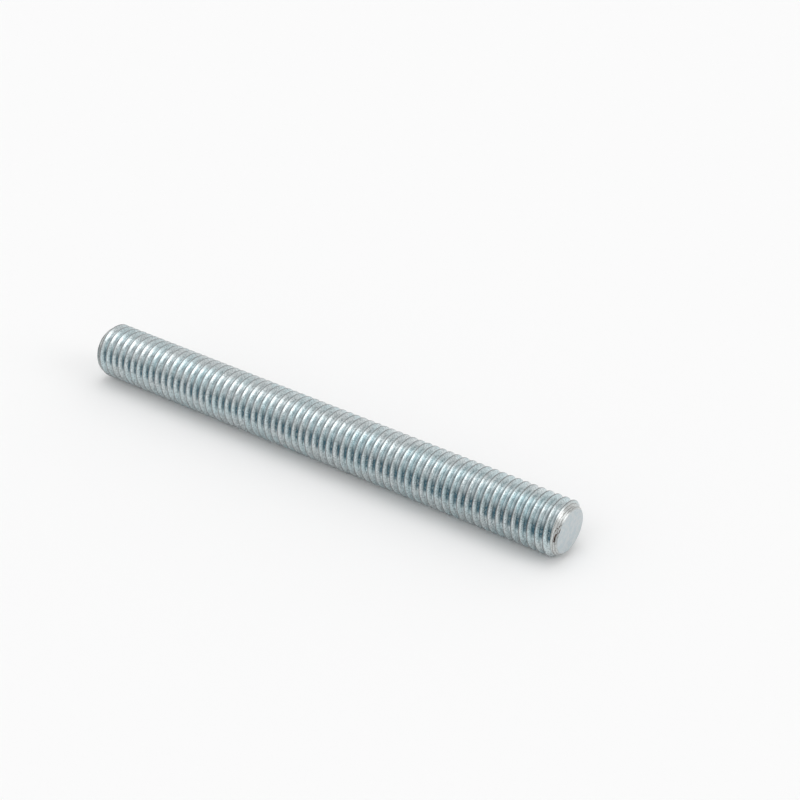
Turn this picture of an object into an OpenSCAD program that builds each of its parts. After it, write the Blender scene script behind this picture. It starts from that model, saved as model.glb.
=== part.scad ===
// Metric threaded rod: a steel bar with a thread along its whole length and a
// bevel at each end. Millimetres. The rod lies on its side on z = 0, its axis
// runs along X, and the origin is on the resting line, midway between the ends.
// The solid is the thread's envelope: it has the crests' true diameter, and the
// grooves between the turns aren't cut into it.

/* [Thread] */
// Nominal diameter of the thread
thread_d = 10; // [4:1:16]
// Distance from one crest to the next along the rod
thread_pitch = 1.5; // [0.7:0.05:2]
// Amount by which the finished crests measure less than the nominal diameter
crest_allowance = 0.1; // [0:0.01:0.3]

/* [Ends] */
// Length from end face to end face
rod_length = 100; // [15:1:1000]
// Angle between the end bevel and the end face
bevel_angle = 45; // [15:1:60]
// Amount by which the flat end face measures less than the root of the thread
face_allowance = 0.5; // [0:0.05:1]

/* [Hidden] */

// Depth of an ISO metric external thread, from the nominal diameter to its root
thread_depth = 0.61343 * thread_pitch;

crest_r = (thread_d - crest_allowance) / 2;
root_r = thread_d / 2 - thread_depth;
face_r = root_r - face_allowance / 2;
bevel_length = (crest_r - face_r) * tan(bevel_angle);
half_length = rod_length / 2;

steel_colour = "#c3cdd0";
round_fn = 180;

// Half of the rod's section, with its radius along X and its length along Y.
module rod_outline() {
    polygon([
        [0, -half_length],
        [face_r, -half_length],
        [crest_r, -half_length + bevel_length],
        [crest_r, half_length - bevel_length],
        [face_r, half_length],
        [0, half_length]
    ]);
}

// The outline turned into the rod, and laid down so that its crests touch z = 0.
module threaded_rod() {
    color(steel_colour)
        translate([0, 0, crest_r])
            rotate([0, 90, 0])
                rotate_extrude($fn = round_fn)
                    rod_outline();
}

threaded_rod();
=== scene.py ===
import math

import bmesh
import bpy
import numpy as np
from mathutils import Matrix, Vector


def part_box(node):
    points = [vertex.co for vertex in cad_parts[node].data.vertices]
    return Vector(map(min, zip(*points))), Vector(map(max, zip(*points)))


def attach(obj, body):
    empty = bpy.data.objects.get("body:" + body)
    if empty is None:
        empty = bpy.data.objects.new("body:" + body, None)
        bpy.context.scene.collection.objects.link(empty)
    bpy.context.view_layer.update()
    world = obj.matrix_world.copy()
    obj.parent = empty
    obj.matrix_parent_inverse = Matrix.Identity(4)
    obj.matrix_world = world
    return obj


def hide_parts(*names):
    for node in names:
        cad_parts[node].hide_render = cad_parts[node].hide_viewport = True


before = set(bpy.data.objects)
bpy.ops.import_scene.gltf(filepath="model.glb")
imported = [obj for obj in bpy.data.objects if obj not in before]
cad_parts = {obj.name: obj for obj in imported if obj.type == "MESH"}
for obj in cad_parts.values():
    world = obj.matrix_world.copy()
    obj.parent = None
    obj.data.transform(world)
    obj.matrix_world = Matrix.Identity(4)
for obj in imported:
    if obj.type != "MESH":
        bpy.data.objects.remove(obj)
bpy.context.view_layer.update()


# Threaded rod
# A bar of mild steel with a right-hand M10 x 1.5 thread rolled along all of it,
# sawn to length and bevelled at both ends, then zinc plated and given a faintly
# blue passivation. The rolling dies leave the flanks bright and the crests dull.

MM = 0.001
low_corner, high_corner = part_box("threaded_rod")
half_length = (high_corner[0] - low_corner[0]) / 2
rod_middle = (high_corner[0] + low_corner[0]) / 2
crest_radius = (high_corner[2] - low_corner[2]) / 2
axis_height = (high_corner[2] + low_corner[2]) / 2

thread_pitch = 1.5 * MM
thread_depth = 0.80 * MM
thread_start = 0.89 * MM        # where a crest crosses the top line of the rod
flank_angle = math.radians(30)
crest_width = 0.15 * MM
crest_rounding = 0.12 * MM
root_rounding = 0.15 * MM
root_radius = crest_radius - thread_depth
steps_per_turn = 80
spare_turns = 4                 # the thread runs past both ends before it is cut


def arc(centre, radius, start, stop, count):
    """Points on an arc in the rod's half section, with angles from the rod's axis."""
    return [
        (centre[0] + radius * math.cos(angle), centre[1] + radius * math.sin(angle))
        for angle in np.linspace(start, stop, count)
    ]


def thread_section():
    """One turn in section: place along the rod from the crest's middle, and radius."""
    flank_run = thread_depth * math.tan(flank_angle)
    root_edge = crest_width / 2 + flank_run
    # A rounding touches a flank this many radii short of the sharp corner.
    setback = math.tan((math.pi / 2 - flank_angle) / 2)
    root_centre = (-root_edge - root_rounding * setback, root_radius + root_rounding)
    crest_centre = (-crest_width / 2 + crest_rounding * setback, crest_radius - crest_rounding)
    rising = arc(root_centre, root_rounding, -math.pi / 2, -flank_angle, 4)
    rising += arc(crest_centre, crest_rounding, math.pi - flank_angle, math.pi / 2, 3)
    rising.append((0.0, crest_radius))
    falling = [(-place, radius) for place, radius in reversed(rising[:-1])]
    return np.array(rising + falling)


def thread_mesh():
    """The thread as a closed mesh that runs on past both ends of the rod."""
    section = thread_section()
    rows = len(section)
    turns = math.ceil(2 * half_length / thread_pitch) + spare_turns
    columns = turns * steps_per_turn + 1
    angle = np.arange(columns)[:, None] * 2 * math.pi / steps_per_turn
    along = thread_start + thread_pitch * (angle / (2 * math.pi) - turns // 2) + section[None, :, 0]
    radius = np.broadcast_to(section[None, :, 1], along.shape)
    # The angle runs from the top towards -Y, so the thread is right-handed.
    grid = np.stack([along, -radius * np.sin(angle), axis_height + radius * np.cos(angle)], -1)
    points = grid.reshape(-1, 3).tolist()

    def point(column, row):
        # Past the last row the section goes on as the next turn's first row.
        return (column + steps_per_turn * (row // rows)) * rows + row % rows

    last = columns - 1
    joined = last - steps_per_turn
    faces = []
    for column in range(last):
        for row in range(rows if column < joined else rows - 1):
            corners = (column, row), (column, row + 1), (column + 1, row + 1), (column + 1, row)
            faces.append([point(*corner) for corner in corners])
    first_rim = [point(column, 0) for column in range(steps_per_turn + 1)]
    first_rim += [point(0, row) for row in range(rows - 1, 0, -1)]
    last_rim = [point(column, rows - 1) for column in range(joined, columns)]
    last_rim += [point(last, row) for row in range(rows - 2, -1, -1)]
    first_hub = grid[0, 0, 0] - thread_pitch
    last_hub = grid[-1, -1, 0] + thread_pitch
    for rim, place in ((first_rim, first_hub), (last_rim, last_hub)):
        hub = len(points)
        points.append((float(place), 0.0, axis_height))
        faces += [(hub, here, there) for here, there in zip(rim, rim[1:] + rim[:1])]
    return solid_mesh("thread", points, faces)


def solid_mesh(name, points, faces):
    """A mesh whose faces all look outwards."""
    mesh = bpy.data.meshes.new(name)
    mesh.from_pydata(points, [], faces)
    shape = bmesh.new()
    shape.from_mesh(mesh)
    bmesh.ops.recalc_face_normals(shape, faces=shape.faces)
    shape.to_mesh(mesh)
    shape.free()
    return mesh


# The ends. The near one, at +X, was sawn a little out of square, and is set back so
# that its furthest edge still ends where the rod does.
end_face_radius = 3.83 * MM
face_lean = -0.05
lean_offset = abs(face_lean) * end_face_radius
bevel_angle = math.radians(45)
bevel_rounding = 0.12 * MM
bar_margin = 0.6 * MM           # how far the bar stands outside the thread that it cuts
bar_steps = 320
slant_points = 14               # points up the near bevel, enough to carry the tears

# Each tear in the near bevel runs straight from one spot to another. A spot is its place
# back from the face in mm and its angle from the top in degrees, towards the front. The
# last two numbers are the tear's half width and its depth in mm.
tears = [
    (0.15, 45, 0.62, 64, 0.10, 0.16),
    (-0.04, 54, 0.12, 67, 0.12, 0.20),
    (0.34, 69, 0.46, 88, 0.15, 0.20),
    (0.05, 74, 0.07, 77, 0.09, 0.12),
    (0.20, 94, 0.25, 98, 0.12, 0.14),
    (0.12, 107, 0.17, 111, 0.10, 0.10),
    (0.62, 1, 0.70, 7, 0.09, 0.12),
    (0.28, -4, 0.33, 3, 0.09, 0.12),
]


def tear_depth(back, angle):
    """How deep the bevel is torn at a place back from the face and an angle."""
    depth = 0.0
    for back_1, degrees_1, back_2, degrees_2, half_width, deepest in tears:
        around = math.radians(degrees_1) * crest_radius, math.radians(degrees_2) * crest_radius
        start = Vector((back_1 * MM / math.sin(bevel_angle), around[0]))
        run = Vector((back_2 * MM / math.sin(bevel_angle), around[1])) - start
        spot = Vector((back / math.sin(bevel_angle), angle * crest_radius)) - start
        share = min(max(spot.dot(run) / run.length_squared, 0.0), 1.0)
        off = (spot - run * share).length / (half_width * MM)
        depth = max(depth, deepest * MM * max(0.0, 1 - off * off))
    return depth


def bar_mesh():
    """The plain bar with its two bevels, a little thicker than the thread."""
    reach = crest_radius + bar_margin
    turn = math.pi / 2 - bevel_angle
    setback = bevel_rounding * math.tan(turn / 2)
    corner_centre = (half_length - bevel_rounding, end_face_radius - setback)
    corner = arc(corner_centre, bevel_rounding, 0, turn, 4)
    slant_end = (half_length - (reach - end_face_radius) / math.tan(turn), reach)
    far_end = [(half_length, 0.0)] + corner + [slant_end]
    slant = [
        np.linspace(first, last, slant_points)[:-1]
        for first, last in zip(corner[-1], slant_end)
    ]
    near_end = [(half_length, 0.0)] + corner[:-1] + list(zip(*slant)) + [slant_end]
    outline = near_end + [(-place, radius) for place, radius in reversed(far_end)]
    points = []
    rings = []
    for place, radius in outline:
        first = len(points)
        count = bar_steps if radius > 0 else 1
        on_near_bevel = 0 < place < half_length and radius < reach
        for step in range(count):
            angle = 2 * math.pi * step / bar_steps - math.pi / 2
            lean = lean_offset + face_lean * radius * math.cos(angle) if place > 0 else 0.0
            torn = tear_depth(half_length - place, angle) if on_near_bevel else 0.0
            points.append((
                rod_middle + place - lean,
                -(radius - torn) * math.sin(angle),
                axis_height + (radius - torn) * math.cos(angle),
            ))
        rings.append([first + step % count for step in range(bar_steps + 1)])
    faces = []
    for ring, following in zip(rings, rings[1:]):
        for step in range(bar_steps):
            corners = [ring[step], ring[step + 1], following[step + 1], following[step]]
            faces.append(list(dict.fromkeys(corners)))
    return solid_mesh("bar", points, faces)


def cut_to(piece, cutter_mesh):
    """Keeps only what of a piece lies inside another mesh."""
    cutter = bpy.data.objects.new("cutter", cutter_mesh)
    bpy.context.scene.collection.objects.link(cutter)
    cut = piece.modifiers.new("cut", "BOOLEAN")
    cut.operation = "INTERSECT"
    cut.solver = "MANIFOLD"
    cut.object = cutter
    evaluated = piece.evaluated_get(bpy.context.evaluated_depsgraph_get())
    result = bpy.data.meshes.new_from_object(evaluated)
    result.materials.clear()
    piece.modifiers.clear()
    piece.data = result
    bpy.data.objects.remove(cutter)


rod = bpy.data.objects.new("threaded_rod_steel", thread_mesh())
bpy.context.scene.collection.objects.link(rod)
cut_to(rod, bar_mesh())
rod.data.shade_smooth()
sharp_from = math.radians(38)
rod.data.set_sharp_from_angle(angle=sharp_from)


class Wire:
    """A shader socket that can stand in a sum; each sum adds its Math nodes."""

    tree = None

    def __init__(self, socket):
        self.socket = socket

    @classmethod
    def node(cls, kind, settings=None, sockets=None, output=0):
        """Adds a node, sets it up, fills or links its sockets and returns an output."""
        made = cls.tree.nodes.new(kind)
        for name, value in (settings or {}).items():
            setattr(made, name, value)
        for name, value in (sockets or {}).items():
            if isinstance(value, Wire):
                cls.tree.links.new(value.socket, made.inputs[name])
            else:
                made.inputs[name].default_value = value
        return cls(made.outputs[output])

    @classmethod
    def maths(cls, operation, *values):
        return cls.node("ShaderNodeMath", {"operation": operation}, dict(enumerate(values)))

    def __add__(self, other):
        return self.maths("ADD", self, other)

    def __radd__(self, other):
        return self.maths("ADD", other, self)

    def __sub__(self, other):
        return self.maths("SUBTRACT", self, other)

    def __rsub__(self, other):
        return self.maths("SUBTRACT", other, self)

    def __mul__(self, other):
        return self.maths("MULTIPLY", self, other)

    def __rmul__(self, other):
        return self.maths("MULTIPLY", other, self)

    def __abs__(self):
        return self.maths("ABSOLUTE", self)

    def rise(self, low, high):
        """0 below low, 1 above high and a smooth rise between."""
        limits = {"Value": self, "From Min": low, "From Max": high}
        return self.node("ShaderNodeMapRange", {"interpolation_type": "SMOOTHSTEP"}, limits)

    def part(self, axis):
        """One of a vector's three numbers."""
        return self.node("ShaderNodeSeparateXYZ", sockets={0: self}, output=axis)

    def noise(self, scale, detail):
        """Even noise, from 0 to 1, with about this many blotches to a metre."""
        sockets = {"Vector": self, "Scale": scale, "Detail": detail}
        return self.node("ShaderNodeTexNoise", sockets=sockets)


def blend_colour(amount, first, second):
    sockets = {0: amount, 6: first, 7: second}
    return Wire.node("ShaderNodeMix", {"data_type": "RGBA"}, sockets, output=2)


# The plating's colours, where it is sound and where the dies, the saw or the tool went, and painted
# shade and dark reflection for the grooves, the crests' far-end edges and the tears in the near
# bevel.
blue_zinc = (0.59, 0.70, 0.725, 1)
grey_zinc = (0.66, 0.71, 0.72, 1)
dull_crest = (0.35, 0.36, 0.365, 1)
# painted shade and painted dark reflection along each crest's far-end edge
painted_crest_edge_shade = (0.045, 0.045, 0.05, 1)
# painted shade and painted dark reflection low on the front of the grooves
painted_groove_shade = (0.055, 0.12, 0.155, 1)
frosted_zinc = (0.30, 0.35, 0.36, 1)
bare_end = (0.56, 0.55, 0.53, 1)
tool_mark = (0.17, 0.16, 0.15, 1)
sawn_shade = (0.55, 0.61, 0.635, 1)
sawn_shine = (0.62, 0.65, 0.66, 1)
sawn_pit = (0.30, 0.33, 0.34, 1)
# painted shade for the sunk tears and groove run-out on the near bevel
painted_tear_shade = (0.10, 0.075, 0.065, 1)
tool_spacing = 0.30 * MM


def zinc_plated_steel():
    """Bright zinc with frosted specks, darker at the bevels, with painted shade low in the grooves,
    along each crest's far-end edge and in the tears of the near bevel.
    """
    material = bpy.data.materials.new("zinc_plated_steel")
    material.use_nodes = True
    Wire.tree = material.node_tree
    surface = material.node_tree.nodes["Principled BSDF"]

    place = Wire.node("ShaderNodeTexCoord", output="Object")
    along = place.part("X")
    across = place.part("Y")
    height = place.part("Z") - axis_height
    radius = Wire.maths("SQRT", across * across + height * height)
    # From the top of the rod towards its front, in radians.
    angle = Wire.maths("ARCTAN2", 0 - across, height)
    facing = Wire.node("ShaderNodeNewGeometry", output="Normal").part("X")

    crest = radius.rise(crest_radius - 0.08 * MM, crest_radius - 0.045 * MM)
    groove = 1 - radius.rise(root_radius + 0.02 * MM, root_radius + 0.34 * MM)
    outer = radius.rise(crest_radius - 0.16 * MM, crest_radius - 0.08 * MM)
    # The edge of each crest on the side of the far end, painted dark: painted shade from the hidden
    # groove behind it and a painted dark reflection.
    painted_lee_shade = (0 - facing).rise(-0.05, 0.22) * outer
    within_face = 1 - radius.rise(end_face_radius, end_face_radius + 0.1 * MM)
    face = abs(facing).rise(0.93, 0.97) * within_face

    # Back from the near face, which leans, and from whichever end is nearer.
    back = rod_middle + half_length - lean_offset - along - face_lean * height
    from_end = Wire.maths("MINIMUM", back, along - rod_middle + half_length)
    ends = (1 - from_end.rise(0.7 * MM, 1.3 * MM)) * (1 - face)
    # Where the groove runs out on the near bevel, and how far the steel there is torn; the sunk
    # places on its front get painted dark shade.
    run_out = angle.rise(0.72, 0.85) * (1 - angle.rise(1.75, 1.95))
    run_out = run_out * (1 - back.rise(0.7 * MM, 0.9 * MM))
    sunk = (end_face_radius + back - radius).rise(0.05 * MM, 0.12 * MM) * (1 - face)
    # A dark streak low on the front of each groove, which fades out underneath: painted shade and a
    # painted dark reflection.
    low_side = angle.rise(0.25, 0.50) * 0.38 + angle.rise(0.92, 1.22) * 0.62
    painted_low_shade = groove * low_side * (1 - angle.rise(1.50, 1.80))

    tint = place.noise(260, 1.0)
    mottle = place.noise(1400, 2.0)
    frost = place.noise(3600, 2.0)
    grain = place.noise(9000, 3.0)
    speck = frost.rise(0.46, 0.62) * 0.62 * (1 - face)
    # Rings left by the tool that cut the bevels, a little uneven.
    rings = from_end * (2 * math.pi / tool_spacing) + mottle * 5.0
    turned = Wire.maths("SINE", rings).rise(0.55, 0.95)

    zinc = blend_colour(tint.rise(0.35, 0.65), blue_zinc, grey_zinc)
    zinc = blend_colour(crest, zinc, dull_crest)
    # painted shade and painted dark reflection on each crest's far-end edge
    zinc = blend_colour(painted_lee_shade, zinc, painted_crest_edge_shade)
    # painted shade and painted dark reflection low in the front of each groove
    zinc = blend_colour(painted_low_shade, zinc, painted_groove_shade)
    zinc = blend_colour(speck, zinc, frosted_zinc)
    zinc = blend_colour(ends * 0.6, zinc, bare_end)
    zinc = blend_colour(ends * turned * 0.75, zinc, tool_mark)
    sawn = blend_colour(mottle.rise(0.40, 0.62), sawn_shade, sawn_shine)
    sawn = blend_colour(grain.rise(0.66, 0.72) * 0.6, sawn, sawn_pit)
    zinc = blend_colour(face, zinc, sawn)
    # painted shade in the sunk places of the near bevel's front
    zinc = blend_colour(run_out * sunk, zinc, painted_tear_shade)

    roughness = 0.28 + face * 0.30 + (mottle - 0.5) * 0.10
    relief = {"Height": grain * 0.5 + mottle + frost, "Strength": 0.25, "Distance": 0.02 * MM}
    bump = Wire.node("ShaderNodeBump", sockets=relief)
    surface.inputs["Metallic"].default_value = 1.0
    for socket, wire in (("Base Color", zinc), ("Roughness", roughness), ("Normal", bump)):
        Wire.tree.links.new(wire.socket, surface.inputs[socket])
    return material


rod.data.materials.append(zinc_plated_steel())
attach(rod, "root")
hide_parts("threaded_rod")


# Floor
# A wide sheet of matt white board that the rod lies on. It is far larger than the
# rod, so that no edge of it comes near.

floor_reach = 4.0
corners = [(-floor_reach, -floor_reach, 0), (floor_reach, -floor_reach, 0)]
corners += [(floor_reach, floor_reach, 0), (-floor_reach, floor_reach, 0)]
floor = bpy.data.objects.new("floor", solid_mesh("floor", corners, [(0, 1, 2, 3)]))
bpy.context.scene.collection.objects.link(floor)
white_board = bpy.data.materials.new("white_board")
white_board.use_nodes = True
board = white_board.node_tree.nodes["Principled BSDF"]
board.inputs["Base Color"].default_value = (0.93, 0.93, 0.93, 1)
board.inputs["Roughness"].default_value = 1.0
board.inputs["Specular IOR Level"].default_value = 0.0
floor.data.materials.append(white_board)


# Studio
# An even pale surround, a little brighter low down, with three soft lamps: one past
# the near end of the rod, one high in front of it and one almost overhead.

surround = 0.76
low_haze = 0.15

world = bpy.data.worlds.new("studio")
bpy.context.scene.world = world
world.use_nodes = True
Wire.tree = world.node_tree
direction = Wire.node("ShaderNodeTexCoord", output="Generated")


def softbox(azimuth, elevation, core, edge, strength):
    """Light that is even up to an angle from its middle and fades over another one."""
    turn = math.radians(azimuth)
    climb = math.radians(elevation)
    middle = (math.cos(climb) * math.cos(turn), math.cos(climb) * math.sin(turn), math.sin(climb))
    sockets = {0: direction, 1: middle}
    toward = Wire.node("ShaderNodeVectorMath", {"operation": "DOT_PRODUCT"}, sockets, "Value")
    dark_from = math.cos(math.radians(core + edge))
    full_from = math.cos(math.radians(core))
    return toward.rise(dark_from, full_from) * strength


level = surround + (1 - direction.part("Z").rise(0.02, 0.24)) * low_haze
level = level + softbox(azimuth=12, elevation=29, core=1, edge=21, strength=1.75)
level = level + softbox(azimuth=-92, elevation=50, core=1, edge=20, strength=1.3)
level = level + softbox(azimuth=129, elevation=83, core=6, edge=23, strength=1.2)
backdrop = world.node_tree.nodes["Background"]
backdrop.inputs["Color"].default_value = (1.0, 1.0, 1.0, 1)
world.node_tree.links.new(level.socket, backdrop.inputs["Strength"])


# Camera
# It stands in front of the rod and past its near end, and looks down at it from
# a little over three rod lengths away.

camera_data = bpy.data.cameras.new("camera")
camera_data.sensor_width = 36.0
camera_data.lens = 85.664
camera = bpy.data.objects.new("camera", camera_data)
camera.location = (175.063 * MM, -215.875 * MM, 178.728 * MM)
aim = Vector((4.122 * MM, 16.537 * MM, 4.950 * MM))
camera.rotation_euler = (aim - camera.location).to_track_quat("-Z", "Y").to_euler()
bpy.context.scene.collection.objects.link(camera)
bpy.context.scene.camera = camera
bpy.context.scene.view_settings.view_transform = "Standard"
